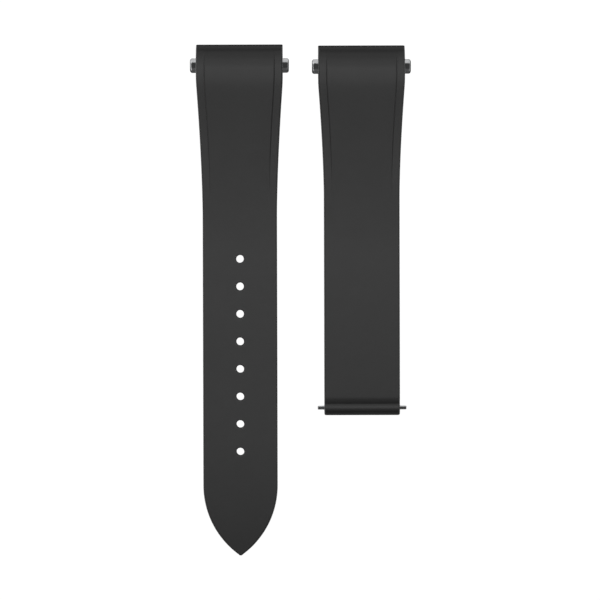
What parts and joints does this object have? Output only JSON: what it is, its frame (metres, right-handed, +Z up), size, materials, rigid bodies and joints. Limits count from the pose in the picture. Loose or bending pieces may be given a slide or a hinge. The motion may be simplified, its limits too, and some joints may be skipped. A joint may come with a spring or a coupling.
{
  "type": "rubber watch strap",
  "caption": "Rubber watch strap in separate halves: steel lug tubes moulded in, a pointed half with adjusting holes, and a short half that ends in a sprung clasp bar.",
  "frame": {"origin": "on the surface that the strap lies on, midway between the two halves' outer tube ends and midway along the long half", "axes": "+X across the straps, from the long half towards the short half; +Y along the straps towards the lug ends; +Z up, out of the face"},
  "size_m": [0.0488, 0.1128, 0.0062],
  "materials": {
    "rubber": "smooth matte moulded rubber, dark grey",
    "tube_steel": "polished stainless steel",
    "bar_steel": "turned stainless steel",
    "spring_steel": "drawn spring wire"
  },
  "bodies": {
    "strap": {"long_strap": "rubber", "long_lug_tube": "tube_steel", "short_strap": "rubber", "short_lug_tube": "tube_steel"},
    "clasp_bar": {"clasp_bar_barrel": "bar_steel", "clasp_bar_spring": "spring_steel"},
    "pin_left": {"clasp_bar_pin_left": "bar_steel"},
    "pin_right": {"clasp_bar_pin_right": "bar_steel"}
  },
  "joints": [
    {"name": "clasp_bar_turn", "type": "hinge", "parent": "strap", "child": "clasp_bar", "pos_m": [0.01345, -0.02388, 0.0015], "axis": [1, 0, 0], "continuous": true},
    {"name": "pin_left_push", "type": "slide", "parent": "clasp_bar", "child": "pin_left", "axis": [1, 0, 0], "range_m": [0, 0.0012], "stiffness_N_per_m": 500, "springref_m": -0.002, "deforming": ["clasp_bar_spring"]},
    {"name": "pin_right_push", "type": "slide", "parent": "clasp_bar", "child": "pin_right", "axis": [-1, 0, 0], "range_m": [0, 0.0012], "stiffness_N_per_m": 500, "springref_m": -0.002, "deforming": ["clasp_bar_spring"]}
  ]
}
